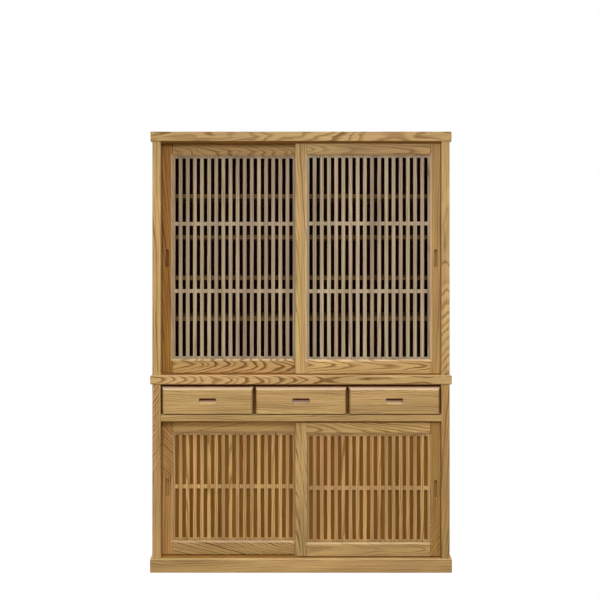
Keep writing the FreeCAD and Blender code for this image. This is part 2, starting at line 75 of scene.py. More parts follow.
class CupboardColours(bpy.types.PropertyGroup):
    """Colours of the woods, the glass and the stage."""
    ash_late: colour_property("Ash latewood", "Pale wood between the growth rings", "#C4A26A")
    ash_early: colour_property("Ash earlywood", "Porous wood along the growth rings", "#7A5326")
    russet_late: colour_property("Heart latewood", "Pale wood of the darkest ash boards", "#9B6D2E")
    russet_early: colour_property("Heart earlywood", "Ring lines of the darkest ash boards", "#5A350F")
    # On the drawer fronts this colour is a painted highlight on the head bevels; on the door frames it pales
    # the chamfers
    chamfer: colour_property("Chamfers", "Sanded chamfers of door frames and drawer fronts", "#EED0AE")
    # Painted shade: the dark that finger pulls, finger slots and door tongues get by their depth, and the
    # drawer stretcher's tone
    hollow: colour_property("Hollows", "Wood that hands and wax have darkened", "#5E3412")
    slat_late: colour_property("Slat latewood", "Pale wood of the upper slats", "#B19E83")
    slat_early: colour_property("Slat earlywood", "Ring lines of the upper slats", "#826C4D")
    low_slat_late: colour_property("Lower slat latewood", "Pale wood of the lower slats", "#C39C66")
    low_slat_early: colour_property("Lower slat earlywood", "Ring lines of the lower slats", "#8C6031")
    # Painted shade, in part: the veneer behind the lower slats is darker than its own colour, for the slats'
    # shade on it
    panel_late: colour_property("Panel latewood", "Pale veneer behind the lower slats", "#795015")
    panel_early: colour_property("Panel earlywood", "Ring lines of that veneer", "#5D3709")
    # Painted shade: dark tones for the back panels' inner faces and the drawer stretcher, where the cupboard
    # lies in shade
    shade_late: colour_property("Stain latewood", "Pale wood of the dark stained lining", "#40140B")
    shade_early: colour_property("Stain earlywood", "Ring lines of the dark stained lining", "#280B05")
    drawer_late: colour_property("Drawer box latewood", "Pale softwood of the drawer boxes", "#D6BE92")
    drawer_early: colour_property("Drawer box earlywood", "Ring lines of the drawer boxes", "#B89766")
    glass: colour_property("Bronze glass", "Body tint of the door glass", "#0C0604")
    glass_sheen: colour_property("Glass reflection", "Tint of what the glass reflects", "#A87A5A")
    floor: colour_property("Floor", "Studio floor", "#F7F7F5")
    floor_bounce: colour_property("Floor bounce", "Floor as the object sees it", "#6E6C69")


class CupboardSizes(bpy.types.PropertyGroup):
    """Sizes of the grain, and where the camera stands."""
    ring: FloatProperty(name="Growth rings", description="Growth ring spacing of the visible boards",
                        default=5 * MM, min=MM, unit="LENGTH")
    panel_ring: FloatProperty(name="Panel rings", description="Growth ring spacing of wide panels",
                              default=9 * MM, min=MM, unit="LENGTH")
    edge_radius: FloatProperty(name="Edge radius", description="How far sanded edges are eased",
                               default=1.2 * MM, min=0.0, unit="LENGTH")
    glass_cover: FloatProperty(name="Glass tint", description="Share of light that the glass holds back",
                               default=0.2, min=0.0, max=1.0, subtype="FACTOR")
    camera_distance: FloatProperty(name="Camera distance", description="Camera to the front plane",
                                   default=3.7, min=1.0, unit="LENGTH")
    eye_height: FloatProperty(name="Eye height", description="Camera above the floor",
                              default=1.338, min=0.1, unit="LENGTH")
    view_width: FloatProperty(name="View width", description="Width that the image spans on the front plane",
                              default=2.583, min=0.1, unit="LENGTH")


def colours():
    """The colours as the scene has them now."""
    return bpy.context.scene.cupboard_colours


def sizes():
    """The sizes as the scene has them now."""
    return bpy.context.scene.cupboard_sizes


# The Mix node's colours come after its sockets for numbers and vectors
MIX_FROM = 6
MIX_TO = 7
COLOUR_MIX = {"out": 2, "data_type": "RGBA"}


def add(tree, kind, inputs=(), out=0, **settings):
    """Adds a shader node with its settings, and returns one of its outputs.

    inputs are values or other nodes' outputs, in the order of the sockets, or by socket name or number.
    """
    made = tree.nodes.new("ShaderNode" + kind)
    for key, value in settings.items():
        setattr(made, key, value)
    by_socket = inputs if isinstance(inputs, dict) else dict(enumerate(inputs))
    for key, value in by_socket.items():
        if isinstance(value, bpy.types.NodeSocket):
            tree.links.new(value, made.inputs[key])
        else:
            made.inputs[key].default_value = value
    return made.outputs[out] if made.outputs else None


def new_material(name):
    """A material with no nodes yet, and its node tree."""
    material = bpy.data.materials.new(name)
    material.use_nodes = True
    material.node_tree.nodes.clear()
    return material, material.node_tree


def dress(node, material):
    """Puts a material on every slot of a CAD node."""
    data = NODES[node].data
    data.materials.clear()
    data.materials.append(material)


def middle(node):
    """The middle of a CAD node's box."""
    low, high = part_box(node)
    return np.array([(a + b) / 2 for a, b in zip(low, high)])


def waves(along, across):
    """Noise scale, in waves per metre, of marks that have a length along the grain and a width across it."""
    return (1 / along, 1 / across, 1 / across)


# The axes along the grain, across the face and into the board, for each way that a board runs
GRAIN_ORDER = {"X": "XZY", "Y": "YXZ", "Z": "ZXY"}
# How far one seed lies from the next in the noise, along the grain and across it
SEED_STEP = np.array((1.37, 0.71, 0.53))
# Most noise lies in this range
NOISE_RANGE = (0.25, 0.75)
# Rings sway in long bows, and in short ones with a small share of their reach
LONG_BOWS = waves(555.56 * MM, 125 * MM)
SHORT_BOWS = waves(83.33 * MM, 22.22 * MM)
SHORT_SHARE = 0.12
# Good and bad years make rings uneven: how many such waves a ring holds, and how many rings they move it
YEAR_WAVES = 0.45
YEAR_REACH = 1.6
# Strength of a ring line in the weakest and in the strongest year
YEAR_STRENGTH = (0.5, 1.1)
# Where in its ring a line is darkest and where it has faded out, and its share in how dark the wood is
LINE_PEAK = 0.15
LINE_END = 0.65
LINE_SHARE = 0.8
# Fibres and pores are about 0.2 mm wide, drawn 4 mm and 1 mm wide so that they show. A range gives the
# noise where they start and end, and how much they darken the wood there.
FIBRES = waves(200 * MM, 4 * MM)
FIBRE_RANGE = (0.3, 0.7, -0.25, 0.3)
PORES = waves(33.33 * MM, 1 * MM)
PORE_RANGE = (0.45, 0.65, 0.0, 0.5)
# Slow drift of a board's shade and hue, where a shade of 1 and a hue of 0.5 change nothing
DRIFT = waves(400 * MM, 55.56 * MM)
SHADE_DRIFT = (0.8, 1.2)
HUE_DRIFT = (0.492, 0.508)
# How far to either side the log of a slat may lie
SLAT_SHIFT = 60 * MM
# Painted shade of the frame on a lattice's border: how dark the border is beside its slats, and how sharply
# that starts
RIM_SHADE = 0.78
RIM_EDGE = 0.1 * MM
# Where figure fades along the grain, before and after the place where a pith starts to lean
KNEE_FADE = (-100 * MM, 50 * MM)
# The Y of its normal below which a face looks forward
LOOKS_FORWARD = -0.5
# The Y of the normal of paled slopes, from their width and depth in millimetres, and how near it must be.
# On the drawer fronts that slope is the head bevel's, which gets a painted highlight, and not the side
# bevels'
FRAME_SLOPE = -8.0 / math.hypot(8.0, 4.0)
DRAWER_SLOPE = -11.0 / math.hypot(11.0, 15.0)
SLOPE_MARGIN = 0.03
# Pale latewood is smoother than the lacquer's roughness, and porous earlywood rougher and sunken
LATE_ROUGHNESS = -0.05
EARLY_ROUGHNESS = 0.12
PORE_DEPTH = 0.3 * MM
PORE_RELIEF = 0.2
LACQUER_IOR = 1.5

# A pith that leans on one side, 1 or -1, of a place along the grain, and the share of figure on the other
Knee = namedtuple("Knee", "bend side rest")
# Two boards that a height parts, mirrored onto one log, and the light and figure of each. The light is
# painted
# light and shade: it lightens or darkens one rail against the other where the light on the two rails differs
Twins = namedtuple("Twins", "fold lower upper")
Twin = namedtuple("Twin", "light figure")
# A row of slats: where it starts, its pitch, and how far one slat may differ in hue and in shade
Slats = namedtuple("Slats", "first pitch hue shade")
# The border of a lattice, which gets painted shade: the lattice's middle, and half of what lies inside the
# border
Rim = namedtuple("Rim", "centre inner")
# Slopes painted paler, on the drawer fronts as a painted highlight: the Y of their normal, and how much
# paler they are
Chamfer = namedtuple("Chamfer", "slope pale")
# Painted shade on recessed faces that look forward: the depths between which it grows, and how dark it gets
HollowShade = namedtuple("HollowShade", "start end most")


def grain_noise(tree, loose, stretch, detail=1.0):
    """Noise that is stretched along the grain."""
    spot = add(tree, "VectorMath", (loose, stretch), operation="MULTIPLY")
    return add(tree, "TexNoise", {"Vector": spot, "Scale": 1.0, "Detail": detail})


def fold_twins(tree, axes, fold):
    """Mirrors two boards onto one log, and gives 1 on the upper one and 0 on the lower one."""
    level = add(tree, "Math", (axes["Z"], fold), operation="SUBTRACT")
    axes["Z"] = add(tree, "Math", (level,), operation="ABSOLUTE")
    return add(tree, "Math", (level, 0.0), operation="GREATER_THAN")


def part_slats(tree, axes, seed, slats):
    """Cuts each slat from its own log, at a random shift, and gives that slat's random number and colour."""
    count = add(tree, "Math", (axes["X"], slats.first), operation="SUBTRACT")
    count = add(tree, "Math", (count, slats.pitch), operation="DIVIDE")
    index = add(tree, "Math", (count,), operation="FLOOR")
    index = add(tree, "Math", (index, float(seed)), operation="ADD")
    chance = add(tree, "TexWhiteNoise", {"W": index}, noise_dimensions="1D").node.outputs
    shift = add(tree, "MapRange", (chance["Value"], 0.0, 1.0, -SLAT_SHIFT, SLAT_SHIFT))
    own = add(tree, "Math", (axes["X"], slats.first, slats.first + slats.pitch), operation="WRAP")
    axes["X"] = add(tree, "Math", (own, shift), operation="ADD")
    return chance["Value"], chance["Color"]


def ring_turns(tree, along, across, heart, tilt, loose, sway, ring):
    """Rings from the pith to a point: their distance, leaning by tilt and swaying, over a ring's width."""
    radius = add(tree, "VectorMath", (across, heart), out="Value", operation="DISTANCE")
    radius = add(tree, "Math", (along, tilt, radius), operation="MULTIPLY_ADD")
    for stretch, reach in ((LONG_BOWS, sway), (SHORT_BOWS, SHORT_SHARE * sway)):
        noise = grain_noise(tree, loose, stretch)
        bow = add(tree, "MapRange", (noise, *NOISE_RANGE, -reach, reach))
        radius = add(tree, "Math", (radius, bow), operation="ADD")
    turns = add(tree, "Math", (radius, ring), operation="DIVIDE")
    years = {"W": turns, "Scale": YEAR_WAVES, "Detail": 1.0}
    uneven = add(tree, "TexNoise", years, noise_dimensions="1D")
    return add(tree, "Math", (uneven, YEAR_REACH, turns), operation="MULTIPLY_ADD")


def ring_lines(tree, turns, figure, shares):
    """Dark earlywood that starts each ring and fades outwards into latewood, stronger in some years."""
    year = add(tree, "Math", (turns,), operation="FLOOR")
    chance = add(tree, "TexWhiteNoise", {"W": year}, out="Value", noise_dimensions="1D")
    weakest, strongest = YEAR_STRENGTH
    weight = add(tree, "MapRange", (chance, 0.0, 1.0, weakest * figure, strongest * figure))
    for share in shares:
        weight = add(tree, "Math", (weight, share), operation="MULTIPLY")
    phase = add(tree, "Math", (turns,), operation="FRACT")
    rise = add(tree, "MapRange", (phase, 0.0, LINE_PEAK), interpolation_type="SMOOTHSTEP")
    fall = add(tree, "MapRange", (phase, LINE_PEAK, LINE_END, weight, 0.0), interpolation_type="SMOOTHSTEP")
    return add(tree, "Math", (rise, fall), operation="MULTIPLY")


def wood_darkness(tree, loose, line):
    """How dark the wood is, from 0 to 1: fibres all over, ring lines, and open pores along those lines."""
    fibres = grain_noise(tree, loose, FIBRES, detail=2.0)
    fibres = add(tree, "MapRange", (fibres, *FIBRE_RANGE))
    pores = grain_noise(tree, loose, PORES)
    pores = add(tree, "MapRange", (pores, *PORE_RANGE))
    marks = add(tree, "Math", (pores, line, fibres), operation="MULTIPLY_ADD")
    return add(tree, "Math", (line, LINE_SHARE, marks), operation="MULTIPLY_ADD", use_clamp=True)


def wood_drift(tree, loose):
    """Slow drift of shade and hue along and across a board."""
    noise = grain_noise(tree, loose, DRIFT, detail=2.0).node.outputs
    shade = add(tree, "MapRange", (noise[0], *NOISE_RANGE, *SHADE_DRIFT))
    blue = add(tree, "SeparateColor", (noise[1],), out="Blue")
    hue = add(tree, "MapRange", (blue, *NOISE_RANGE, *HUE_DRIFT))
    return shade, hue


def rim_shade(tree, place, rim):
    """Paints the frame's shade on the border strips, which lie outside the inner box of a lattice."""
    off = add(tree, "VectorMath", (place, rim.centre), operation="SUBTRACT")
    off = add(tree, "VectorMath", (off,), operation="ABSOLUTE")
    off = add(tree, "VectorMath", (off, rim.inner), operation="SUBTRACT")
    off = add(tree, "SeparateXYZ", (off,)).node.outputs
    outside = add(tree, "Math", (off["X"], off["Z"]), operation="MAXIMUM")
    return add(tree, "MapRange", (outside, 0.0, RIM_EDGE, 1.0, RIM_SHADE))


def vary_slats(tree, shade, hue, chance, chance_colour, slats):
    """Gives each slat its own shade and hue."""
    own = add(tree, "MapRange", (chance, 0.0, 1.0, 1 - slats.shade, 1 + slats.shade))
    shade = add(tree, "Math", (shade, own), operation="MULTIPLY")
    green = add(tree, "SeparateColor", (chance_colour,), out="Green")
    own = add(tree, "MapRange", (green, 0.0, 1.0, -slats.hue, slats.hue))
    hue = add(tree, "Math", (hue, own), operation="ADD")
    return shade, hue


def face_direction(tree):
    """The Y of the normal, which is -1 on a face that looks straight forward."""
    normal = add(tree, "NewGeometry", out="True Normal")
    return add(tree, "SeparateXYZ", (normal,), out="Y")


def looks_forward(tree):
    """1 on faces that look forward, and 0 on the others."""
    return add(tree, "Math", (face_direction(tree), LOOKS_FORWARD), operation="LESS_THAN")


def line_face(tree, wood, dark, lining):
    """Gives faces that look forward other tones, which paint shade on the back panels."""
    late, early = lining
    inner = add(tree, "Mix", {0: dark, MIX_FROM: late, MIX_TO: early}, **COLOUR_MIX)
    return add(tree, "Mix", {0: looks_forward(tree), MIX_FROM: wood, MIX_TO: inner}, **COLOUR_MIX)


def darken_hollow(tree, wood, depth, hollow):
    """Paints shade on faces that look forward, more and more between two depths."""
    deep = add(tree, "MapRange", (depth, hollow.start, hollow.end, 0.0, hollow.most))
    share = add(tree, "Math", (looks_forward(tree), deep), operation="MULTIPLY")
    return add(tree, "Mix", {0: share, MIX_FROM: wood, MIX_TO: colours().hollow}, **COLOUR_MIX)


def pale_chamfer(tree, wood, chamfer):
    """Pales slopes of one tilt: a painted highlight on the drawers' head bevels, and paler chamfers on the
    door frames.
    """
    leaning = add(tree, "Math", (face_direction(tree), chamfer.slope, SLOPE_MARGIN), operation="COMPARE")
    share = add(tree, "Math", (leaning, chamfer.pale), operation="MULTIPLY")
    return add(tree, "Mix", {0: share, MIX_FROM: wood, MIX_TO: colours().chamfer}, **COLOUR_MIX)


def satin_skin(tree, wood, dark, rough, shine):
    """The finished surface: eased edges, sunken grain and a soft sheen."""
    gloss = add(tree, "MapRange", (dark, 0.0, 1.0, rough + LATE_ROUGHNESS, rough + EARLY_ROUGHNESS))
    eased = add(tree, "Bevel", {"Radius": sizes().edge_radius}, samples=4)
    relief = add(tree, "Bump", {"Strength": PORE_RELIEF, "Distance": PORE_DEPTH, "Height": dark,
                                "Normal": eased}, invert=True)
    # Thin lacquer that has sunk into open grain shines less than its refractive index alone gives
    skin = add(tree, "BsdfPrincipled", {"Base Color": wood, "Roughness": gloss, "IOR": LACQUER_IOR,
                                        "Specular IOR Level": shine, "Normal": relief})
    add(tree, "OutputMaterial", {"Surface": skin})


def cut_wood(name, grain, pith, tones, seed, ring=None, sway=9 * MM, tilt=0.015, figure=1.0, knee=None,
             twins=None, slats=None, rim=None, lining=None, chamfer=None, hollow=None, rough=0.42,
             shine=0.22):
    """Wood cut from a log and finished: warm, uneven tones and dark open grain under a soft, wide sheen.

    Growth rings are cylinders about the pith, which runs along the grain, so a face near the pith shows
    arched figure and a face far from it straight lines. The pith leans by tilt, noise stretched along the
    grain makes the rings sway, and figure is the strength of their lines. lining gives the faces that look
    forward other tones, which paint shade on the back panels. The rest are the marks named above, among them
    painted shade in hollows and on lattice borders, painted light and shade on twin rails, and a painted
    highlight on the drawers' head bevels.
    """
    material, tree = new_material(name)
    order = GRAIN_ORDER[grain]
    place = add(tree, "TexCoord", out="Object")
    split = add(tree, "SeparateXYZ", (place,)).node.outputs
    axes = {axis: split[axis] for axis in "XYZ"}
    # Noise reads the unfolded place, so no two boards share their figure
    loose = add(tree, "CombineXYZ", [axes[axis] for axis in order])
    loose = add(tree, "VectorMath", (loose, (seed * SEED_STEP).tolist()), operation="ADD")
    shade, hue = wood_drift(tree, loose)
    shares = []
    if twins is not None:
        over = fold_twins(tree, axes, twins.fold)
        shares.append(add(tree, "MapRange", (over, 0.0, 1.0, twins.lower.figure, twins.upper.figure)))
        # Painted light and shade: one rail lighter or darker than the other
        light = add(tree, "MapRange", (over, 0.0, 1.0, twins.lower.light, twins.upper.light))
        shade = add(tree, "Math", (shade, light), operation="MULTIPLY")
    if slats is not None:
        chance, chance_colour = part_slats(tree, axes, seed, slats)
        shade, hue = vary_slats(tree, shade, hue, chance, chance_colour, slats)
    if rim is not None:
        shade = add(tree, "Math", (shade, rim_shade(tree, place, rim)), operation="MULTIPLY")
    along, *sideways = (axes[axis] for axis in order)
    if knee is not None:
        past = add(tree, "Math", (along, knee.side, -knee.side * knee.bend), operation="MULTIPLY_ADD")
        shares.append(add(tree, "MapRange", (past, *KNEE_FADE, knee.rest, 1.0)))
        along = add(tree, "Math", (past, 0.0), operation="MAXIMUM")
        tilt *= knee.side
    across = add(tree, "CombineXYZ", (0.0, *sideways))
    heart = (0.0, *(pith["XYZ".index(axis)] for axis in order[1:]))
    turns = ring_turns(tree, along, across, heart, tilt, loose, sway, ring or sizes().ring)
    dark = wood_darkness(tree, loose, ring_lines(tree, turns, figure, shares))
    late, early = tones
    wood = add(tree, "Mix", {0: dark, MIX_FROM: late, MIX_TO: early}, **COLOUR_MIX)
    if lining is not None:
        wood = line_face(tree, wood, dark, lining)
    wood = add(tree, "HueSaturation", {"Hue": hue, "Value": shade, "Color": wood})
    if hollow is not None:
        wood = darken_hollow(tree, wood, split["Y"], hollow)
    if chamfer is not None:
        wood = pale_chamfer(tree, wood, chamfer)
    satin_skin(tree, wood, dark, rough, shine)
    return material


def bronze_glass():
    """Body-tinted float glass: smooth and dark brown, so the shelves behind it show only faintly.

    The tint is the share of light that the pane holds back, on the way in and again on the way out.
    """
    material, tree = new_material("bronze_float_glass")
    pane = add(tree, "BsdfPrincipled", {"Base Color": colours().glass, "Roughness": 0.03, "IOR": 1.52,
                                        "Specular IOR Level": 0.07, "Specular Tint": colours().glass_sheen,
                                        "Alpha": sizes().glass_cover})
    add(tree, "OutputMaterial", {"Surface": pane})
    return material


def ash(warmth=0.0, light=1.0):
    """Latewood and earlywood of an ash board, from pale sapwood (0) to russet heartwood (1), times light."""
    pairs = ((colours().ash_late, colours().russet_late), (colours().ash_early, colours().russet_early))
    mixed = [(1 - warmth) * np.array(pale) + warmth * np.array(red) for pale, red in pairs]
    return [(*(light * tone[:3]), 1.0) for tone in mixed]


# Boards: clear figure under a soft sheen
SOLID_ASH = "satin_lacquered_ash"
# The sides and the panels behind the lower slats: the same sheen on broader or fainter figure
ASH_VENEER = "satin_lacquered_ash_veneer"
# Sheets inside: duller, because sealer alone leaves the grain open
INNER_PLYWOOD = "sealed_ash_plywood"
SEALED_ROUGHNESS = 0.5
# Drawer boxes: pale and dull, with faint lines
BARE_SOFTWOOD = "sanded_bare_softwood"
BARE_ROUGHNESS = 0.6
# Hardly any sheen on the dark wood that stands for shade inside
DARK_SHINE = 0.03


def board(node, grain, depth=0.0, off=0.0, tones=None, seed=1, finish=SOLID_ASH, **marks):
    """Dresses a node as one board, whose pith lies depth behind its middle, and off beside or above it."""
    pith = middle(node)
    pith[1] += depth
    pith[0 if grain == "Z" else 2] += off
    dress(node, cut_wood(f"{finish}_{node}", grain, tuple(pith), tones or ash(), seed, **marks))


# A post or stile: how russet and how light it is, how far its lines lean and how strong they are, where they
# lean, which is all along (0), above a bend (1) or below it (-1), and how far outwards its pith lies
Upright = namedtuple("Upright", "warmth light lean figure leans off")


def upright(node, wood, side, bend, rest, **marks):
    """Dresses a post or stile on one side of the cupboard, -1 for left and 1 for right."""
    knee = Knee(bend, wood.leans, rest) if wood.leans else None
    board(node, "Z", off=side * wood.off, tones=ash(wood.warmth, wood.light), tilt=wood.lean, knee=knee,
          figure=wood.figure, **marks)


def side_of(place):
    """1 for a place on the right, and -1 for one on the left."""
    return 1 if place.endswith("right") else -1


class CUPBOARD_OT_dress_boards(bpy.types.Operator):
    """Top board, counter, plinth, sills and drawer rail: flat-sawn ash with arched figure"""
    bl_idname = "cupboard.dress_boards"
    bl_label = "Dress boards"

    def execute(self, context):
        board("top_board", "X", depth=-335 * MM, off=6 * MM, tones=ash(warmth=0.05), seed=1, tilt=0.035,
              sway=14 * MM)
        board("counter", "X", depth=-265 * MM, off=-4 * MM, tones=ash(light=1.03), seed=2, tilt=0.1,
              knee=Knee(bend=100 * MM, side=-1, rest=0.9), sway=12 * MM, figure=1.2)
        board("plinth_front", "X", depth=60 * MM, off=60 * MM, tones=ash(warmth=0.15, light=0.93), seed=3,
              figure=0.6)
        board("plinth_returns", "Y", off=-70 * MM, tones=ash(warmth=0.1), seed=4)
        board("drawer_rail", "X", depth=40 * MM, off=40 * MM, tones=ash(warmth=0.08, light=0.93), seed=5,
              figure=0.6)
        # The sills take the full russet: painted shade in the gaps under the doors
        for i, sill in enumerate(("upper_sill", "lower_sill")):
            board(sill, "X", depth=40 * MM, off=-30 * MM, tones=ash(warmth=1.0), seed=6 + i)
        return {"FINISHED"}


POSTS = {
    "upper_left": Upright(0.0, 1.11, 0.015, 0.65, 0, 45 * MM),
    "upper_right": Upright(0.0, 1.05, 0.11, 0.85, -1, 8 * MM),
    "lower_left": Upright(0.2, 1.02, -0.25, 1.0, 1, 45 * MM),
    "lower_right": Upright(0.4, 0.95, 0.03, 0.7, 0, 45 * MM),
}


class CUPBOARD_OT_dress_cases(bpy.types.Operator):
    """Posts and side panels: upright grain, straight on the posts and arched on the sides"""
    bl_idname = "cupboard.dress_cases"
    bl_label = "Dress posts and sides"

    def execute(self, context):
        for i, (place, wood) in enumerate(POSTS.items()):
            side = side_of(place)
            post = f"{place}_post"
            upright(post, wood, side, bend=middle(post)[2], rest=0.45, depth=60 * MM, sway=6 * MM,
                    seed=10 + i)
            board(f"{place}_side", "Z", off=-side * 90 * MM, seed=20 + i, ring=sizes().panel_ring,
                  tones=ash(warmth=0.1), tilt=0.02, finish=ASH_VENEER)
        return {"FINISHED"}


# A door's two rails: how russet they are, how far their grain leans, how far in from the door's edges their
# pith lies, and the light and figure of each, where the light is painted light and shade
Rails = namedtuple("Rails", "warmth lean inset lower upper")
# A door: the stile with the finger slot, the other one, the rails, how dark the painted shade in the slot
# is, and how pale the stiles' chamfers are
Door = namedtuple("Door", "pull meeting rails slot pale")
DOORS = {
    "upper_left": Door(
        pull=Upright(1.0, 1.0, 0.04, 1.1, 0, 35 * MM),
        meeting=Upright(0.3, 1.0, 0.02, 0.7, 0, -30 * MM),
        rails=Rails(0.3, 0.1, 38 * MM, lower=Twin(1.0, 1.4), upper=Twin(0.93, 0.8)),
        slot=0.85, pale=0.3),
    "upper_right": Door(
        pull=Upright(0.4, 0.95, 0.01, 0.5, 0, 35 * MM),
        meeting=Upright(0.0, 0.97, 0.03, 0.7, 0, -30 * MM),
        rails=Rails(0.1, 0.04, 38 * MM, lower=Twin(1.06, 1.1), upper=Twin(0.88, 0.7)),
        slot=0.4, pale=0.3),
    "lower_left": Door(
        pull=Upright(0.6, 1.05, 0.45, 1.7, 1, 35 * MM),
        meeting=Upright(0.2, 1.0, 0.02, 0.8, 0, -30 * MM),
        rails=Rails(0.15, -0.15, 80 * MM, lower=Twin(0.84, 1.2), upper=Twin(1.09, 0.8)),
        slot=0.25, pale=0.08),
    "lower_right": Door(
        pull=Upright(0.7, 0.92, 0.3, 1.1, -1, 35 * MM),
        meeting=Upright(0.1, 0.93, 0.06, 0.8, 0, -30 * MM),
        rails=Rails(0.15, 0.05, 38 * MM, lower=Twin(0.85, 0.6), upper=Twin(1.04, 0.9)),
        slot=0.45, pale=0.08),
}
RAIL_PALE = 0.08
# How far past the middle a leaning stile bends, as a share of the door's height
BEND_SHARE = 0.1
# Finger slots and tongues lie more than 4 mm behind the face of the frame, and painted shade darkens them
# from there
SLOT_DEPTHS = (4.5 * MM, 6 * MM)


class CUPBOARD_OT_dress_doors(bpy.types.Operator):
    """Door frames: upright grain on the stiles and level grain on the rails"""
    bl_idname = "cupboard.dress_doors"
    bl_label = "Dress door frames"

    def execute(self, context):
        for i, (place, door) in enumerate(DOORS.items()):
            seed = 30 + 3 * i
            node = f"{place}_door_rails"
            low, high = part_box(node)
            centre = middle(node)
            height = high[2] - low[2]
            hollow = HollowShade(*(low[1] + depth for depth in SLOT_DEPTHS), door.slot)
            for j, (word, wood) in enumerate((("pull", door.pull), ("meeting", door.meeting))):
                upright(f"{place}_door_{word}_stile", wood, side_of(place), rest=0.35,
                        bend=centre[2] + BEND_SHARE * wood.leans * height, depth=50 * MM, sway=4 * MM,
                        seed=seed + j, chamfer=Chamfer(FRAME_SLOPE, door.pale), hollow=hollow)
            rails = door.rails
            pith = (centre[0], centre[1] + 35 * MM, height / 2 - rails.inset)
            dress(node, cut_wood(f"{SOLID_ASH}_{node}", "X", pith, ash(rails.warmth), seed + 2,
                                 tilt=rails.lean, sway=10 * MM, hollow=hollow,
                                 twins=Twins(centre[2], rails.lower, rails.upper),
                                 chamfer=Chamfer(FRAME_SLOPE, RAIL_PALE)))
        return {"FINISHED"}


class CUPBOARD_OT_dress_lattices(bpy.types.Operator):
    """Lattices: narrow slats, each ripped from its own board"""
    bl_idname = "cupboard.dress_lattices"
    bl_label = "Dress lattices"

    border: FloatProperty(name="Border", description="Width of the border strips", default=10 * MM,
                          unit="LENGTH")
    slat_width: FloatProperty(name="Slat width", description="Width of a slat", default=16 * MM,
                              unit="LENGTH")
    slat_count: IntProperty(name="Slats", description="Slats in a door", default=16)

    def execute(self, context):
        upper = (colours().slat_late, colours().slat_early)
        lower = (colours().low_slat_late, colours().low_slat_early)
        # A slat's own number is added to the seed, so rows stand further apart than they have slats
        seed = 50
        for level, tones, hue, shade in (("upper", upper, 0.014, 0.16), ("lower", lower, 0.004, 0.12)):
            for word in ("left", "right"):
                node = f"{level}_{word}_door_lattice"
                low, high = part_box(node)
                gaps = high[0] - low[0] - 2 * self.border - self.slat_count * self.slat_width
                gap = gaps / (self.slat_count + 1)
                pitch = self.slat_width + gap
                first = low[0] + self.border + gap / 2 - pitch
                pith = (first + pitch / 2, low[1] + 35 * MM, 0.0)
                centre = middle(node)
                inner = np.array(high) - centre - self.border
                dress(node, cut_wood(f"{SOLID_ASH}_{node}", "Z", pith, tones, seed, sway=5 * MM,
                                     slats=Slats(first, pitch, hue, shade),
                                     rim=Rim(tuple(centre), tuple(inner))))
                seed += 20
        return {"FINISHED"}


class CUPBOARD_OT_dress_panes(bpy.types.Operator):
    """Bronze glass above, veneered panels below, and the beads that hold them"""
    bl_idname = "cupboard.dress_panes"
    bl_label = "Dress panes"

    def execute(self, context):
        glass = bronze_glass()
        veneer = (colours().panel_late, colours().panel_early)
        for i, word in enumerate(("left", "right")):
            dress(f"upper_{word}_door_glass", glass)
            board(f"lower_{word}_door_panel", "Z", depth=80 * MM, off=20 * MM, seed=130 + i, tones=veneer,
                  finish=ASH_VENEER)
            for level in ("upper", "lower"):
                board(f"{level}_{word}_door_beads", "Z", depth=60 * MM, seed=134 + i)
        return {"FINISHED"}


class CUPBOARD_OT_dress_drawers(bpy.types.Operator):
    """Drawer fronts in ash, drawer boxes in pale bare softwood"""
    bl_idname = "cupboard.dress_drawers"
    bl_label = "Dress drawers"

    def execute(self, context):
        pale = (colours().drawer_late, colours().drawer_early)
        # How far above or below the middle of each front its pith lies
        fronts = {"left": 70 * MM, "middle": -80 * MM, "right": 75 * MM}
        for i, (word, off) in enumerate(fronts.items()):
            front = f"{word}_drawer_front"
            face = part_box(front)[0][1]
            # Painted shade in the finger pulls, darker as they deepen
            hollow = HollowShade(face + 6 * MM, face + 11 * MM, most=1.0)
            # Each front's head bevel gets a painted highlight
            board(front, "X", depth=45 * MM, off=off, seed=140 + i, tones=ash(light=0.93), figure=0.8,
                  sway=14 * MM, chamfer=Chamfer(DRAWER_SLOPE, pale=0.65), hollow=hollow)
            board(f"{word}_drawer_box", "Y", off=-150 * MM, seed=145 + i, rough=BARE_ROUGHNESS, tones=pale,
                  finish=BARE_SOFTWOOD)
        return {"FINISHED"}


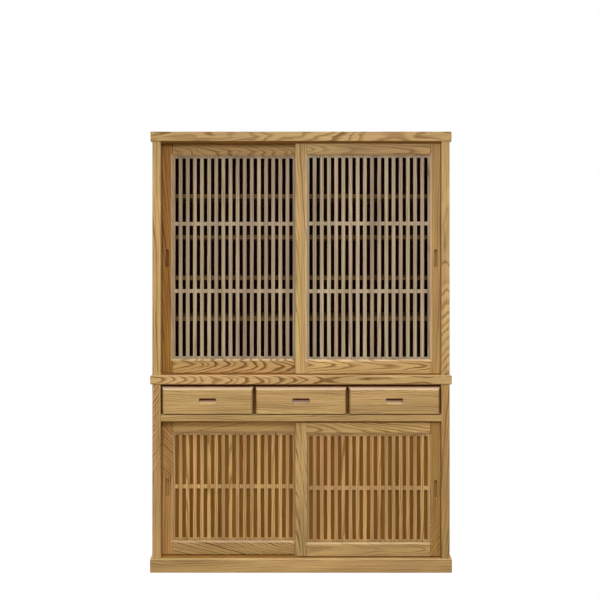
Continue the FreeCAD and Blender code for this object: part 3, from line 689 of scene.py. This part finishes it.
class CUPBOARD_OT_dress_inside(bpy.types.Operator):
    """Shelves, partitions, floors, guides and cleats in sealed plywood, and back panels whose inner faces
    are painted dark as shade
    """
    bl_idname = "cupboard.dress_inside"
    bl_label = "Dress inside"

    def execute(self, context):
        sealed = {"rough": SEALED_ROUGHNESS, "finish": INNER_PLYWOOD}
        shade_tones = (colours().shade_late, colours().shade_early)
        # How russet each is. The head guides' full russet is painted shade under the top board and the
        # drawer rail
        level_grain = {"upper_shelves": 0.3, "lower_shelves": 0.3, "upper_floor": 0.4, "lower_floor": 0.4,
                       "upper_head_guides": 1.0, "lower_head_guides": 1.0, "drawer_deck": 0.4}
        for i, (node, warmth) in enumerate(level_grain.items()):
            board(node, "X", off=-90 * MM, seed=160 + i, tones=ash(warmth), **sealed)
        # The stretcher shows in the gap under the counter, in painted-shade tones
        board("drawer_stretcher", "X", off=-90 * MM, seed=168, shine=DARK_SHINE,
              tones=(colours().hollow, colours().shade_late), **sealed)
        for i, (level, off) in enumerate((("upper", 40 * MM), ("lower", -170 * MM))):
            board(f"{level}_partition", "Z", depth=90 * MM, off=off, seed=170 + i, tones=ash(warmth=0.6),
                  **sealed)
            # The back panels' inner faces take dark tones: painted shade
            board(f"{level}_back_panel", "Z", depth=90 * MM, off=off, seed=172 + i, tones=ash(warmth=0.3),
                  ring=sizes().panel_ring, lining=shade_tones, shine=DARK_SHINE, **sealed)
        for i, node in enumerate(("shelf_cleats", "drawer_dividers", "drawer_side_guides")):
            board(node, "Y", off=-70 * MM, seed=180 + i, tones=ash(warmth=0.4), **sealed)
        return {"FINISHED"}


# Half of the floor's width, and how many points it has each way
FLOOR_HALF = 2.0
FLOOR_POINTS = 9
# How far from the foot the floor fades out, and how much of it is faded at the foot
FADE_REACH = 0.45
FADE_START = 0.55
PAPER_GRIT = 1.1 * MM
# Light that a wooden room throws into shadows, and daylight that balances it
WARM = (1.0, 0.82, 0.55)
COOL = (0.93, 1.0, 1.13)
# Heights that the lamps in front and those around the cupboard point at
FACE_HEIGHT = 0.95
BODY_HEIGHT = 0.9


def flat_grid(places):
    """A flat grid as vertices and quads: every pair of the places, at floor height."""
    x, y = np.meshgrid(places, places)
    vertices = np.stack([x.ravel(), y.ravel(), np.zeros(x.size)], axis=1)
    columns = len(places)
    corner = (np.arange(columns - 1)[:, None] * columns + np.arange(columns - 1)).ravel()
    quads = np.stack([corner, corner + 1, corner + columns + 1, corner + columns], axis=1)
    return vertices, quads


def white_paper():
    """Matt white paper that fades into the white surround away from the cupboard's foot.

    The camera sees through most of it to the white behind, so that only the soft shadow shows.
    """
    material, tree = new_material("matt_white_paper")
    place = add(tree, "TexCoord", out="Object")
    foot = tuple(max(abs(a), abs(b)) for a, b in zip(*CAD_BOX))
    reach = add(tree, "VectorMath", (place,), operation="ABSOLUTE")
    reach = add(tree, "VectorMath", (reach, foot), operation="SUBTRACT")
    reach = add(tree, "VectorMath", (reach, (0.0, 0.0, 0.0)), operation="MAXIMUM")
    far = add(tree, "VectorMath", (reach,), out="Value", operation="LENGTH")
    fade = add(tree, "MapRange", (far, 0.0, FADE_REACH, FADE_START, 1.0))
    seen = add(tree, "LightPath", out="Is Camera Ray")
    fade = add(tree, "Math", (fade, seen), operation="MULTIPLY")
    grit = add(tree, "TexNoise", {"Vector": place, "Scale": 1 / PAPER_GRIT})
    rough = add(tree, "MapRange", (grit, 0.0, 1.0, 0.8, 0.95))
    tint = add(tree, "Mix", {0: seen, MIX_FROM: colours().floor_bounce, MIX_TO: colours().floor},
               **COLOUR_MIX)
    paper = add(tree, "BsdfPrincipled", {"Base Color": tint, "Roughness": rough})
    clear = add(tree, "BsdfTransparent")
    mixed = add(tree, "MixShader", (fade, paper, clear))
    add(tree, "OutputMaterial", {"Surface": mixed})
    return material


def white_surround(scene, ambient):
    """A world that looks white, and lights the object with a softer and warmer ambient level."""
    world = bpy.data.worlds.new("white_studio")
    world.use_nodes = True
    tree = world.node_tree
    tree.nodes.clear()
    path = add(tree, "LightPath").node.outputs
    seen = path["Is Camera Ray"]
    for ray in ("Is Glossy Ray", "Is Transmission Ray"):
        seen = add(tree, "Math", (seen, path[ray]), operation="MAXIMUM")
    level = add(tree, "MapRange", (seen, 0.0, 1.0, ambient, 1.0))
    tint = add(tree, "Mix", {0: seen, MIX_FROM: (*WARM, 1.0), MIX_TO: (1.0, 1.0, 1.0, 1.0)}, **COLOUR_MIX)
    glow = add(tree, "Background", {"Color": tint, "Strength": level})
    add(tree, "OutputWorld", {"Surface": glow})
    scene.world = world


def aim(obj, target):
    """Turns an object's -Z towards a point."""
    direction = np.array(target) - np.array(obj.location)
    flat = math.hypot(direction[0], direction[1])
    obj.rotation_euler = (math.atan2(flat, -direction[2]), 0.0, math.atan2(-direction[0], direction[1]))


class CUPBOARD_OT_set_stage(bpy.types.Operator):
    """Floor, soft lights and the camera at the photograph's angle"""
    bl_idname = "cupboard.set_stage"
    bl_label = "Set stage"

    horizon_row: FloatProperty(name="Horizon row", description="Image row at eye height", default=262.0,
                               subtype="PIXEL")
    centre_column: FloatProperty(name="Centre column", description="Image column of the centre line",
                                 default=301.0, subtype="PIXEL")
    key_power: FloatProperty(name="Key power", description="Soft box above the camera", default=21.5,
                             unit="POWER")
    top_strength: FloatProperty(name="Top", description="Wide soft light from overhead", default=2.2)
    fill_power: FloatProperty(name="Fill power", description="Soft box at the camera", default=54.0,
                              unit="POWER")
    side_power: FloatProperty(name="Side power", description="Soft boxes beside and behind", default=60.0,
                              unit="POWER")
    ambient: FloatProperty(name="Ambient", description="Light from all round", default=0.1)

    def execute(self, context):
        scene = context.scene
        self.lay_floor(scene)
        white_surround(scene, self.ambient)
        foot = (0.0, FRONT, 0.0)
        face = (0.0, FRONT, FACE_HEIGHT)
        body = (0.0, 0.0, BODY_HEIGHT)
        # The key points at the foot through a grid, so that the top and the foot are lit alike
        self.hang(scene, "key_soft_box", "AREA", self.key_power, (0.0, FRONT - 3.75, 3.58), foot,
                  shape="RECTANGLE", size=1.8, size_y=1.2, spread=math.radians(75.0), color=COOL)
        self.hang(scene, "top_light", "SUN", self.top_strength, (0.0, FRONT - 0.8, 3.2), face,
                  angle=math.radians(45.0), color=COOL)
        fill = self.hang(scene, "fill_soft_box", "AREA", self.fill_power, (0.0, FRONT - 4.4, 1.3), face,
                         shape="RECTANGLE", size=2.0, size_y=1.6, color=WARM)
        # The fill stands behind the camera, and would be mirrored in the panes
        fill.visible_glossy = False
        # These stand behind the front plane, so they light the sides and the back alone
        for name, place in (("left_soft_box", (-3.2, 1.2, 2.0)), ("right_soft_box", (3.2, 1.2, 2.0)),
                            ("back_soft_box", (0.0, 4.0, 2.2))):
            self.hang(scene, name, "AREA", self.side_power, place, body,
                      shape="RECTANGLE", size=1.6, size_y=1.6)
        self.place_camera(scene)
        scene.view_settings.view_transform = "Standard"
        return {"FINISHED"}

    def lay_floor(self, scene):
        """Lays a square of white paper under the cupboard."""
        vertices, quads = flat_grid(np.linspace(-FLOOR_HALF, FLOOR_HALF, FLOOR_POINTS))
        mesh = bpy.data.meshes.new("studio_floor")
        mesh.from_pydata(vertices.tolist(), [], quads.tolist())
        mesh.materials.append(white_paper())
        floor = bpy.data.objects.new("studio_floor", mesh)
        scene.collection.objects.link(floor)

    def hang(self, scene, name, kind, power, place, target, **shape):
        """Hangs a lamp at a place and aims it."""
        lamp = bpy.data.lights.new(name, kind)
        lamp.energy = power
        for key, value in shape.items():
            setattr(lamp, key, value)
        holder = bpy.data.objects.new(name, lamp)
        holder.location = place
        scene.collection.objects.link(holder)
        aim(holder, target)
        return holder

    def place_camera(self, scene):
        """Level camera: the lens spans the view width at the front plane, and shift sets the horizon."""
        data = bpy.data.cameras.new("photo_camera")
        data.lens = data.sensor_width * sizes().camera_distance / sizes().view_width
        data.shift_x = (IMAGE_PIXELS / 2 - self.centre_column) / IMAGE_PIXELS
        data.shift_y = (self.horizon_row - IMAGE_PIXELS / 2) / IMAGE_PIXELS
        camera = bpy.data.objects.new("photo_camera", data)
        camera.location = (0.0, FRONT - sizes().camera_distance, sizes().eye_height)
        camera.rotation_euler = (math.pi / 2, 0.0, 0.0)
        scene.collection.objects.link(camera)
        scene.camera = camera


STEPS = (CUPBOARD_OT_dress_boards, CUPBOARD_OT_dress_cases, CUPBOARD_OT_dress_doors,
         CUPBOARD_OT_dress_lattices, CUPBOARD_OT_dress_panes, CUPBOARD_OT_dress_drawers,
         CUPBOARD_OT_dress_inside, CUPBOARD_OT_set_stage)


class CUPBOARD_PT_sidebar(bpy.types.Panel):
    """Every step of the finish, in order, under the sizes and colours that it reads"""
    bl_idname = "CUPBOARD_PT_sidebar"
    bl_label = "Cupboard"
    bl_space_type = "VIEW_3D"
    bl_region_type = "UI"
    bl_category = "Cupboard"

    def draw(self, context):
        for group in (sizes(), colours()):
            for name in type(group).__annotations__:
                self.layout.prop(group, name)
        for step in STEPS:
            self.layout.operator(step.bl_idname)


CLASSES = (CupboardColours, CupboardSizes, *STEPS, CUPBOARD_PT_sidebar)


def register():
    for cls in CLASSES:
        bpy.utils.register_class(cls)
    bpy.types.Scene.cupboard_colours = PointerProperty(type=CupboardColours)
    bpy.types.Scene.cupboard_sizes = PointerProperty(type=CupboardSizes)


def unregister():
    del bpy.types.Scene.cupboard_sizes
    del bpy.types.Scene.cupboard_colours
    for cls in reversed(CLASSES):
        bpy.utils.unregister_class(cls)


def main():
    register()
    bpy.ops.cupboard.dress_boards()
    bpy.ops.cupboard.dress_cases()
    bpy.ops.cupboard.dress_doors()
    bpy.ops.cupboard.dress_lattices()
    bpy.ops.cupboard.dress_panes()
    bpy.ops.cupboard.dress_drawers()
    bpy.ops.cupboard.dress_inside()
    bpy.ops.cupboard.set_stage()


if __name__ == "__main__":
    main()
